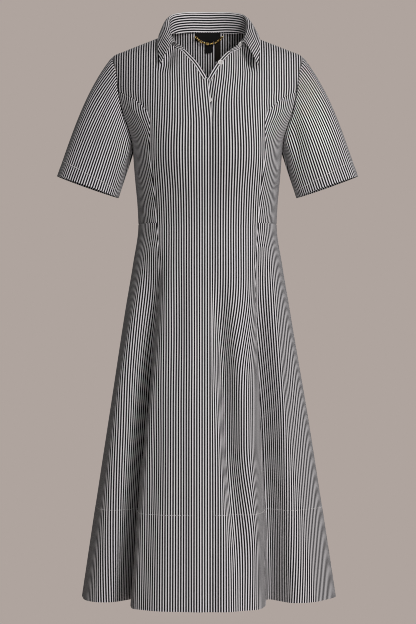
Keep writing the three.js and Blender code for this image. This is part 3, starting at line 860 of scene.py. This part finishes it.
# Points of the sleeve on the wearer's left: turn is 0 on top and 90 at the front.
def sleeve_points(turn, along):
    t = np.radians(turn)
    middle = (ARMHOLE_TOP + ARMHOLE_BOTTOM) / 2
    half = (ARMHOLE_TOP - ARMHOLE_BOTTOM) / 2
    z = middle + half * np.cos(t)
    is_front = np.sin(t) > 0
    angle = armhole_angle(z, is_front)
    ring = np.where(is_front, angle, 180 - angle)
    topness = 0.5 + 0.5 * np.cos(t)
    start = surface(ring, z)
    start = start + surface_normal(ring, z) * (SLEEVE_SEAM + 0.7 * topness)[..., None]
    end = CUFF_PLACE + CUFF_OUTWARD * (CUFF_HALF_WIDTH * np.cos(t))[..., None]
    end = end + np.array([0, -1, 0]) * (CUFF_HALF_DEPTH * np.sin(t))[..., None]
    lead = SLEEVE_START_UNDER + (SLEEVE_START_TOP - SLEEVE_START_UNDER) * topness[..., None]
    lead[..., 1] = -SLEEVE_FULLNESS * np.sin(t)
    pull = SLEEVE_PULL * length_of(end - start)[..., None]
    first = start + unit(lead) * pull
    second = end - CUFF_DOWN * pull
    s = along[..., None]
    return (
        start * (1 - s) ** 3
        + first * 3 * s * (1 - s) ** 2
        + second * 3 * s**2 * (1 - s)
        + end * s**3
    )


def sleeve_grid(label):
    side = SIDES[label]
    along = np.concatenate([[0, 0.006, 0.014, 0.03], np.linspace(0.05, 1, SLEEVE_ROWS)])
    turn = np.arange(SLEEVE_COLUMNS) * 360 / SLEEVE_COLUMNS - 180
    turn, along = np.broadcast_arrays(turn[None, :], along[:, None])
    grid = sleeve_points(turn, along)
    centre = grid.mean(axis=1, keepdims=True)
    normals = grid_normals(grid, True)
    normals = normals * np.sign((normals * (grid - centre)).sum())
    lift = -0.7 * np.exp(-((along / 0.012) ** 2))
    length = 230
    for crease in SLEEVE_CREASES[label]:
        across = wrapped(turn - crease.turn0)
        down = (along - crease.along0) * length
        run_across = crease.turn1 - crease.turn0
        run_down = (crease.along1 - crease.along0) * length
        whole = math.hypot(run_across, run_down)
        share = (across * run_across + down * run_down) / whole**2
        aside = (across * run_down - down * run_across) / whole
        fade = 1 if crease.along1 >= 1 else smooth_step((1 - share) / 0.4)
        lift = lift + crease.rise * bell(aside, crease.spread) * smooth_step(share / 0.3) * fade
    left_to_cuff = (1 - along) * length
    in_hem = smooth_step((SLEEVE_HEM - left_to_cuff) / 2.5)
    lift = lift + 0.35 * in_hem - 0.5 * bell(left_to_cuff - SLEEVE_HEM, 1.6)
    grid = grid + normals * lift[..., None]
    tuck = grid[:1] - normals[:1] * 2.2
    grid = np.concatenate([tuck, grid])
    normals = np.concatenate([normals[:1], normals])
    in_hem = np.concatenate([in_hem[:1], in_hem])
    for part in (grid, normals):
        part[..., 0] *= side
    return grid, normals, SHEET + (FOLDED - SHEET) * in_hem


def make_sleeve(label):
    grid, normals, thickness = sleeve_grid(label)
    closed = np.concatenate([grid, grid[:, :1]], axis=1)
    step = length_of(np.diff(closed, axis=1))
    around = np.concatenate([np.zeros((len(grid), 1)), np.cumsum(step, axis=1)], axis=1)
    middle = SLEEVE_COLUMNS // 2
    across = around - around[:, middle : middle + 1]
    quarter = SLEEVE_COLUMNS // 4
    for half, mark in ((slice(0, middle), quarter), (slice(middle, None), middle + quarter)):
        across[:, half] *= across[-1, mark] / across[:, mark : mark + 1]
    uv = np.stack([across, down_cloth(closed)], axis=-1)
    obj = make_cloth(f"cloth_sleeve_{label}", grid, uv, thickness, normals, cotton, ring=True)
    declare(obj, f"sleeve_{label}", grid, uv, ring=True)


# Collar


# Centripetal curve through points, read by share of its length.
def collar_curve(points):
    points = np.asarray(points, float)
    ends = np.concatenate([[2 * points[0] - points[1]], points, [2 * points[-1] - points[-2]]])
    samples = []
    for i in range(len(points) - 1):
        a, b, c, d = ends[i : i + 4]
        gap0 = max(length_of(b - a) ** 0.5, 1e-4)
        gap1 = max(length_of(c - b) ** 0.5, 1e-4)
        gap2 = max(length_of(d - c) ** 0.5, 1e-4)
        leave = ((b - a) / gap0 - (c - a) / (gap0 + gap1) + (c - b) / gap1) * gap1
        arrive = ((c - b) / gap1 - (d - b) / (gap1 + gap2) + (d - c) / gap2) * gap1
        t = np.linspace(0, 1, 60, endpoint=False)[:, None]
        bend = -3 * b + 3 * c - 2 * leave - arrive
        close = 2 * b - 2 * c + leave + arrive
        samples.append(b + leave * t + bend * t**2 + close * t**3)
    samples.append(points[-1:])
    samples = np.concatenate(samples)
    along = np.concatenate([[0], np.cumsum(length_of(np.diff(samples, axis=0)))])
    along /= along[-1]

    def read(share):
        share = np.clip(share, 0, 1)
        return np.stack([np.interp(share, along, samples[:, k]) for k in range(3)], axis=-1)

    return read


def collar_line(rows):
    right = [(-row.right, row.y, row.z) for row in rows]
    left = [(row.left, row.y, row.z) for row in rows]
    return collar_curve(right + left[::-1][1:])


def neck_seam():
    def half(edge, side):
        rows = edge[:NECK_SEAM_ROWS][::-1]
        front = [surface(side * angle_of_x(row.x, row.z), row.z) for row in rows]
        back = [surface(side * (180 - row.angle), row.z) for row in BACK_NECK[1:]]
        return front + back

    right = half(RIGHT_EDGE, -1)
    left = half(LEFT_EDGE, 1)
    return collar_curve(right + left[::-1][1:])


seam_line = neck_seam()
roll_line = collar_line(COLLAR_ROLL)
edge_line = collar_line(COLLAR_EDGE)


def flat_unit(vectors):
    return unit(vectors * np.array([1, 1, 0]))


# Points of the stand on the side that faces the neck.
def stand_points(share, down):
    top = roll_line(share)
    foot = seam_line(share)
    height = length_of(foot - top)[..., None]
    reach = (0.9 + down[..., None] * (height - 0.9 + STAND_TUCK)) / height
    return top + (foot - top) * reach


def make_stand():
    share = np.linspace(0, 1, 141)
    down = np.linspace(0, 1, 15)
    share, down = np.broadcast_arrays(share[None, :], down[:, None])
    inner = stand_points(share, down)
    outward = flat_unit(inner)
    normals = grid_normals(inner, False)
    normals = normals * np.sign((normals * outward).sum())
    grid = inner + normals * CLOTH
    uv = np.stack([down_cloth(grid), length_along(grid)], axis=-1)
    obj = make_cloth("cloth_collar_stand", grid, uv, CLOTH, outward, cotton)
    declare(obj, "collar_stand", grid, uv)


def length_along(grid):
    step = length_of(np.diff(grid, axis=1))
    return np.concatenate([np.zeros((len(grid), 1)), np.cumsum(step, axis=1)], axis=1)


def make_fall():
    share = np.concatenate([[0, 0.002, 0.006], np.linspace(0.012, 0.988, 150), [0.994, 0.998, 1]])
    roll_turn = np.linspace(0, math.pi, 7)
    top = roll_line(share)
    low = edge_line(share)
    outward = flat_unit(low)
    near_front = bell(np.minimum(share, 1 - share), 0.05)[:, None]
    rows = [top - outward * 0.1 + (seam_line(share) - top) * 0.05]
    for turn in roll_turn:
        reach = CLOTH - ROLL_RADIUS * math.cos(turn)
        lift = ROLL_RADIUS * math.sin(turn)
        rows.append(top + outward * reach + np.array([0, 0, lift]))
    downs = np.concatenate([np.linspace(0.02, 0.97, 26), [0.985, 0.995, 1]])
    for down in downs:
        bulge = FALL_BULGE * math.sin(math.pi * math.sqrt(down)) + 2 * CLOTH + 0.1 * (1 - down)
        forward = np.array([0, -FALL_FRONT_LIFT * math.sin(math.pi * down**0.6), 0])
        rows.append(top + (low - top) * down + outward * bulge + near_front * forward)
    grid = np.stack(rows)
    uv = np.stack([down_cloth(grid), length_along(grid)], axis=-1)
    obj = make_cloth("cloth_collar_fall", grid, uv, 1.0, np.broadcast_to(outward, grid.shape), cotton)
    declare(obj, "collar_fall", grid, uv)


# Materials


def new_material(name):
    material = bpy.data.materials.new(name)
    material.use_nodes = True
    nodes = material.node_tree.nodes
    return material, nodes, material.node_tree.links, nodes["Principled BSDF"]


def math_node(nodes, links, operation, first, second=None):
    node = nodes.new("ShaderNodeMath")
    node.operation = operation
    links.new(first, node.inputs[0])
    if second is not None:
        node.inputs[1].default_value = second
    return node.outputs[0]


# Black and white stripes by millimetres across the cloth, with uneven thread edges and a weave.
def striped_material():
    material, nodes, links, shader = new_material("striped_cotton")
    place = nodes.new("ShaderNodeUVMap")
    place.uv_map = "cloth"
    split = nodes.new("ShaderNodeSeparateXYZ")
    links.new(place.outputs["UV"], split.inputs[0])
    waver = nodes.new("ShaderNodeTexNoise")
    waver.inputs["Scale"].default_value = 2.2
    waver.inputs["Detail"].default_value = 1
    links.new(place.outputs["UV"], waver.inputs["Vector"])
    shift = math_node(nodes, links, "MULTIPLY", waver.outputs["Fac"], 0.35)
    across = nodes.new("ShaderNodeMath")
    across.operation = "ADD"
    links.new(split.outputs["X"], across.inputs[0])
    links.new(shift, across.inputs[1])
    turns = math_node(nodes, links, "MULTIPLY", across.outputs[0], 1 / STRIPE_PITCH)
    part = math_node(nodes, links, "FRACT", turns)
    centred = math_node(nodes, links, "SUBTRACT", part, 0.5)
    distance = math_node(nodes, links, "ABSOLUTE", centred)
    edge = nodes.new("ShaderNodeMapRange")
    edge.interpolation_type = "SMOOTHSTEP"
    edge.inputs["From Min"].default_value = WHITE_SHARE / 2 - 0.03
    edge.inputs["From Max"].default_value = WHITE_SHARE / 2 + 0.03
    links.new(distance, edge.inputs["Value"])
    mix = nodes.new("ShaderNodeMix")
    mix.data_type = "RGBA"
    mix.inputs["A"].default_value = (0.88, 0.87, 0.87, 1)
    mix.inputs["B"].default_value = (0.004, 0.0035, 0.006, 1)
    links.new(edge.outputs["Result"], mix.inputs["Factor"])
    links.new(mix.outputs["Result"], shader.inputs["Base Color"])
    weave = nodes.new("ShaderNodeTexNoise")
    weave.inputs["Scale"].default_value = 4.0
    weave.inputs["Detail"].default_value = 2
    links.new(place.outputs["UV"], weave.inputs["Vector"])
    bump = nodes.new("ShaderNodeBump")
    bump.inputs["Strength"].default_value = 0.12
    bump.inputs["Distance"].default_value = 0.0002
    links.new(weave.outputs["Fac"], bump.inputs["Height"])
    links.new(bump.outputs["Normal"], shader.inputs["Normal"])
    shader.inputs["Roughness"].default_value = 0.82
    shader.inputs["Specular IOR Level"].default_value = 0.25
    shader.inputs["Sheen Weight"].default_value = 0.06
    return material


# A plain colour with a fine grain in object space, in metres.
def grained_material(name, colour, other, scale, roughness, metallic=0.0, bump_distance=0.0001):
    material, nodes, links, shader = new_material(name)
    place = nodes.new("ShaderNodeTexCoord")
    grain = nodes.new("ShaderNodeTexNoise")
    grain.inputs["Scale"].default_value = scale
    links.new(place.outputs["Object"], grain.inputs["Vector"])
    mix = nodes.new("ShaderNodeMix")
    mix.data_type = "RGBA"
    mix.inputs["A"].default_value = (*colour, 1)
    mix.inputs["B"].default_value = (*other, 1)
    links.new(grain.outputs["Fac"], mix.inputs["Factor"])
    links.new(mix.outputs["Result"], shader.inputs["Base Color"])
    bump = nodes.new("ShaderNodeBump")
    bump.inputs["Strength"].default_value = 0.2
    bump.inputs["Distance"].default_value = bump_distance
    links.new(grain.outputs["Fac"], bump.inputs["Height"])
    links.new(bump.outputs["Normal"], shader.inputs["Normal"])
    shader.inputs["Roughness"].default_value = roughness
    shader.inputs["Metallic"].default_value = metallic
    return material


cotton = striped_material()
thread = grained_material("white_thread", (0.8, 0.79, 0.77), (0.7, 0.69, 0.67), 900, 0.7)
tape = grained_material("black_tape", (0.001, 0.001, 0.001), (0.004, 0.004, 0.004), 1500, 1.0)
brown_tape = grained_material("brown_tape", (0.006, 0.004, 0.002), (0.016, 0.011, 0.005), 1500, 1.0)
pearl = grained_material("pearl_button", (0.86, 0.85, 0.82), (0.78, 0.76, 0.74), 120, 0.25)
# The button holes are painted shade: dark discs laid on the button's face, not holes cut through it.
hole_shade = grained_material("button_hole_shade", (0.05, 0.045, 0.04), (0.09, 0.08, 0.07), 300, 0.8)
gold = grained_material("gold_chain", (0.80, 0.56, 0.20), (0.68, 0.45, 0.14), 500, 0.28, 1.0)


# Stitches


# Short bars of thread that follow a line of points lying on the cloth.
def make_stitches(name, points, normals, stitch=2.6, gap=0.7, radius=0.55, skip=None):
    points = np.asarray(points)
    along = np.concatenate([[0], np.cumsum(length_of(np.diff(points, axis=0)))])
    vertices = []
    faces = []
    start = 0.0
    while start + stitch < along[-1]:
        ends = []
        for place in (start, start + stitch / 2, start + stitch):
            point = np.array([np.interp(place, along, points[:, k]) for k in range(3)])
            normal = np.array([np.interp(place, along, normals[:, k]) for k in range(3)])
            ends.append((point, normal / np.linalg.norm(normal)))
        start += stitch + gap
        if skip is not None and skip(ends[1][0]):
            continue
        way = ends[2][0] - ends[0][0]
        way /= np.linalg.norm(way)
        base = len(vertices)
        for k, (point, normal) in enumerate(ends):
            aside = np.cross(normal, way)
            lift = 0.45 if k == 1 else -0.1
            size = radius if k == 1 else radius * 0.6
            for turn in range(4):
                a = math.pi / 2 * turn + math.pi / 4
                spoke = aside * math.cos(a) + normal * math.sin(a)
                vertices.append(point + normal * lift + spoke * size)
        for k in range(2):
            for turn in range(4):
                a = base + 4 * k + turn
                b = base + 4 * k + (turn + 1) % 4
                faces.append([a, b, b + 4, a + 4])
        faces.append([base + 3, base + 2, base + 1, base])
        faces.append([base + 8, base + 9, base + 10, base + 11])
    obj = make_object(name, vertices, faces, thread)
    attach(obj, "root")
    return obj


def make_hem_stitches():
    turn = np.linspace(0, 360, 900)
    z = np.full(turn.shape, float(HEM_STITCH_Z))
    normals = surface_normal(turn, z)
    points = surface(turn, z) - normals * 0.1
    in_fly = lambda point: point[1] < 0 and -28 < point[0] < 14
    make_stitches("hem_stitches", points, normals, skip=in_fly)


def make_sleeve_stitches(label):
    grid, normals, _ = sleeve_grid(label)
    middle = 0.5 * (grid[-1] + grid[-1].mean(axis=0))
    down = length_of(grid[-1] - grid[-2]).mean()
    rows_up = SLEEVE_HEM / down
    low = len(grid) - 1 - int(rows_up)
    share = rows_up - int(rows_up)
    line = grid[low] * (1 - share) + grid[low - 1] * share
    face = normals[low]
    line = np.concatenate([line, line[:1]])
    face = np.concatenate([face, face[:1]])
    make_stitches(f"sleeve_stitches_{label}", line, face)


# Buttons


def button_frame(place, normal):
    normal = Vector(normal).normalized()
    turn = normal.to_track_quat("Z", "Y").to_matrix()
    return np.array(place), np.array(turn)


def lathe(outline, sides):
    vertices = []
    faces = []
    for radius, height in outline:
        for k in range(sides):
            a = 2 * math.pi * k / sides
            vertices.append((radius * math.cos(a), radius * math.sin(a), height))
    rings = len(outline)
    for r in range(rings - 1):
        for k in range(sides):
            n = (k + 1) % sides
            faces.append([r * sides + k, r * sides + n, (r + 1) * sides + n, (r + 1) * sides + k])
    faces.append(list(range(sides))[::-1])
    faces.append([(rings - 1) * sides + k for k in range(sides)])
    return vertices, faces


HOLE_RADIUS = 0.75
HOLE_REACH = 1.35
BUTTON_OUTLINE = [
    (4.6, 0),
    (5.3, 0.25),
    (5.6, 0.8),
    (5.6, 1.6),
    (5.4, 2.05),
    (5.0, 2.3),
    (4.6, 2.3),
    (4.2, 2.15),
    (3.9, 1.85),
    (3.2, 1.72),
    (1.6, 1.68),
]


def make_button(node, place, normal):
    origin, turn = button_frame(place, normal)

    def placed(local):
        return origin + np.asarray(local) @ turn.T

    vertices, faces = lathe(BUTTON_OUTLINE, 40)
    body = make_object(f"shell_{node}", placed(vertices), faces, pearl)
    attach(body, "root")
    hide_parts(node)
    parts = {"hole_shades": ([], [], hole_shade), "thread": ([], [], thread)}
    corners = [(sx * HOLE_REACH, sy * HOLE_REACH) for sx, sy in ((1, 1), (-1, 1), (-1, -1), (1, -1))]
    # painted shade: dark discs where the holes' shaded depth would show
    for x, y in corners:
        add_part(parts["hole_shades"], lathe([(HOLE_RADIUS, 1.55), (HOLE_RADIUS, 1.76)], 12), (x, y, 0))
    for a, b in ((0, 2), (1, 3)):
        (ax, ay), (bx, by) = corners[a], corners[b]
        bar = thread_bar(ax, ay, bx, by, 1.95 if a else 2.15)
        add_part(parts["thread"], bar, (0, 0, 0))
    for part, (part_vertices, part_faces, material) in parts.items():
        obj = make_object(f"{node}_{part}", placed(part_vertices), part_faces, material)
        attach(obj, "root")


def add_part(part, shape, offset):
    base = len(part[0])
    part[0].extend([tuple(np.add(vertex, offset)) for vertex in shape[0]])
    part[1].extend([[base + i for i in face] for face in shape[1]])


def thread_bar(ax, ay, bx, by, height):
    length = math.hypot(bx - ax, by - ay)
    way = np.array([bx - ax, by - ay, 0]) / length
    aside = np.array([-way[1], way[0], 0])
    vertices = []
    for share, lift in ((0, 1.7), (0.12, height), (0.88, height), (1, 1.7)):
        point = np.array([ax, ay, lift]) + way * length * share
        for k in range(6):
            a = 2 * math.pi * k / 6
            vertices.append(point + aside * 0.42 * math.cos(a) + np.array([0, 0, 0.3 * math.sin(a)]))
    faces = []
    for r in range(3):
        for k in range(6):
            n = (k + 1) % 6
            faces.append([6 * r + k, 6 * r + n, 6 * r + 6 + n, 6 * r + 6 + k])
    faces.append(list(range(6))[::-1])
    faces.append([18 + k for k in range(6)])
    return vertices, faces


def on_left_front(spot):
    angle = angle_of_x(spot.x, spot.z)
    normal = surface_normal(angle, spot.z)
    place = surface(angle, spot.z)
    return place - normal * lap_drop(place, spot.z), normal


def make_buttons():
    place, normal = on_left_front(CLOSING_BUTTON)
    make_button("button_front", place + normal * 2.2, normal)
    place, normal = on_left_front(NECK_BUTTON)
    make_button("button_neck", place + normal * 0.35, normal)
    share = COLLAR_BUTTON_COLUMN / COLLAR_COLUMNS
    down = COLLAR_BUTTON_DOWN
    around = stand_at(share + 0.5 / 28, down) - stand_at(share - 0.5 / 28, down)
    drop = stand_at(share, down + 0.1) - stand_at(share, down - 0.1)
    normal = unit(np.cross(around, drop))
    make_button("button_collar", stand_at(share, down) + normal * (CLOTH + 0.35), normal)


def stand_at(share, down):
    return stand_points(np.array([share]), np.array([down]))[0]


# Trim inside the back neck


def make_strip(node, strip, material):
    z = np.linspace(strip.top, strip.bottom, 15)
    across = np.linspace(0, 1, 21)
    from_end = np.minimum(z - strip.bottom, 9)
    corner = strip.corner
    cut = corner - np.sqrt(np.maximum(0, corner**2 - np.maximum(0, corner - from_end) ** 2))
    left = strip.left + cut
    right = strip.right - cut
    x = left[:, None] + (right - left)[:, None] * across[None, :]
    z = np.broadcast_to(z[:, None], x.shape)
    turn = 180 - angle_of_x(x, z)
    normals = surface_normal(turn, z)
    grid = surface(turn, z) - normals * strip.depth
    uv = np.stack([x, z], axis=-1)
    obj = make_cloth(f"tape_{node}", grid, uv, STRIP_THICKNESS, normals, material)
    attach(obj, "root")
    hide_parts(node)


LINK_LENGTH = 9.0
LINK_WIDTH = 6.0
LINK_WIRE = 1.0


def make_chain():
    share = np.linspace(0, 1, 200)
    x = CHAIN_LEFT + (CHAIN_RIGHT - CHAIN_LEFT) * share
    z = CHAIN_TOP - CHAIN_SAG * (1 - (2 * share - 1) ** 2)
    turn = 180 - angle_of_x(x, z)
    normals = surface_normal(turn, z)
    path = surface(turn, z) - normals * CHAIN_DEPTH
    along = np.concatenate([[0], np.cumsum(length_of(np.diff(path, axis=0)))])
    step = LINK_LENGTH - 2 * LINK_WIRE - 0.25
    count = int(along[-1] / step)
    vertices = []
    faces = []
    for k in range(count + 1):
        place = along[-1] * k / count
        point = np.array([np.interp(place, along, path[:, i]) for i in range(3)])
        ahead = np.array([np.interp(place + 0.5, along, path[:, i]) for i in range(3)])
        behind = np.array([np.interp(place - 0.5, along, path[:, i]) for i in range(3)])
        way = unit((ahead - behind)[None])[0]
        normal = np.array([np.interp(place, along, normals[:, i]) for i in range(3)])
        aside = unit(np.cross(normal, way)[None])[0]
        flat = unit(np.cross(way, aside)[None])[0]
        tilt = math.radians(40 if k % 2 else -40)
        wide = aside * math.cos(tilt) + flat * math.sin(tilt)
        high = np.cross(way, wide)
        add_link(vertices, faces, point, way, wide, high)
    obj = make_object("chain_links", vertices, faces, gold)
    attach(obj, "root")
    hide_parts("hanger_chain")


def add_link(vertices, faces, point, way, wide, high):
    base = len(vertices)
    long_half = LINK_LENGTH / 2 - LINK_WIRE
    wide_half = LINK_WIDTH / 2 - LINK_WIRE
    around, tube = 16, 6
    for a in range(around):
        turn = 2 * math.pi * a / around
        centre = point + way * long_half * math.cos(turn) + wide * wide_half * math.sin(turn)
        out = way * math.cos(turn) + wide * math.sin(turn)
        for b in range(tube):
            spin = 2 * math.pi * b / tube
            vertices.append(centre + (out * math.cos(spin) + high * math.sin(spin)) * LINK_WIRE)
    for a in range(around):
        for b in range(tube):
            p = base + a * tube + b
            q = base + a * tube + (b + 1) % tube
            r = base + (a + 1) % around * tube + (b + 1) % tube
            s = base + (a + 1) % around * tube + b
            faces.append([p, s, r, q])


# Studio and camera

BACKGROUND = (0.429, 0.371, 0.342)
AMBIENT = (0.10, 0.098, 0.096)
CAMERA = Vector((0.001, -4.15, -0.558))


def make_studio():
    bpy.context.scene.cycles.filter_width = 1.0
    scene = bpy.context.scene
    scene.view_settings.view_transform = "Standard"
    world = bpy.data.worlds.new("studio")
    world.use_nodes = True
    nodes = world.node_tree.nodes
    links = world.node_tree.links
    seen = nodes["Background"]
    seen.inputs["Color"].default_value = (*BACKGROUND, 1)
    around = nodes.new("ShaderNodeBackground")
    around.inputs["Color"].default_value = (*AMBIENT, 1)
    path = nodes.new("ShaderNodeLightPath")
    mix = nodes.new("ShaderNodeMixShader")
    links.new(path.outputs["Is Camera Ray"], mix.inputs["Fac"])
    links.new(around.outputs[0], mix.inputs[1])
    links.new(seen.outputs[0], mix.inputs[2])
    links.new(mix.outputs[0], nodes["World Output"].inputs["Surface"])
    scene.world = world
    floor_z = -1450
    ring = [(1300 * math.cos(a), 1300 * math.sin(a), floor_z) for a in np.linspace(0, 2 * math.pi, 64, False)]
    floor_look = grained_material("pale_floor", BACKGROUND, BACKGROUND, 3, 0.9)
    floor = make_object("floor", ring, [list(range(64))], floor_look, smooth=False)
    add_light("key", (1.95, -4.17, 1.46), 1.2, 116)
    add_light("fill", (0.62, -3.94, -0.35), 2.0, 28)
    add_light("side", (3.29, -1.2, -0.4), 1.2, 9)
    add_light("back", (0.0, 3.2, 2.4), 1.2, 24)
    camera_data = bpy.data.cameras.new("camera")
    camera_data.sensor_fit = "VERTICAL"
    camera_data.sensor_height = 36
    camera_data.lens = 117.9
    camera_data.clip_end = 50
    camera = bpy.data.objects.new("camera", camera_data)
    camera.location = CAMERA
    camera.rotation_euler = (math.pi / 2, 0, 0)
    scene.collection.objects.link(camera)
    scene.camera = camera


LIGHT = (1.0, 0.965, 0.985)  # one colour for all, so that no tint of one alone shows


def add_light(name, place, size, power):
    light = bpy.data.lights.new(name, "AREA")
    light.shape = "DISK"
    light.size = size
    light.energy = power
    light.color = LIGHT
    obj = bpy.data.objects.new(name, light)
    obj.location = place
    aim = Vector((0, 0, -0.5)) - obj.location
    obj.rotation_euler = aim.to_track_quat("-Z", "Y").to_euler()
    bpy.context.scene.collection.objects.link(obj)


for label in SIDES:
    make_front(label)
    make_back(label)
    make_side_panels(label, True)
    make_side_panels(label, False)
    make_sleeve(label)
    make_sleeve_stitches(label)
make_stand()
make_fall()
make_hem_stitches()
make_buttons()
make_strip("neck_label", LABEL, tape)
make_strip("size_tab", SIZE_TAB, tape)
make_strip("care_strip", CARE_STRIP, brown_tape)
make_chain()
make_studio()
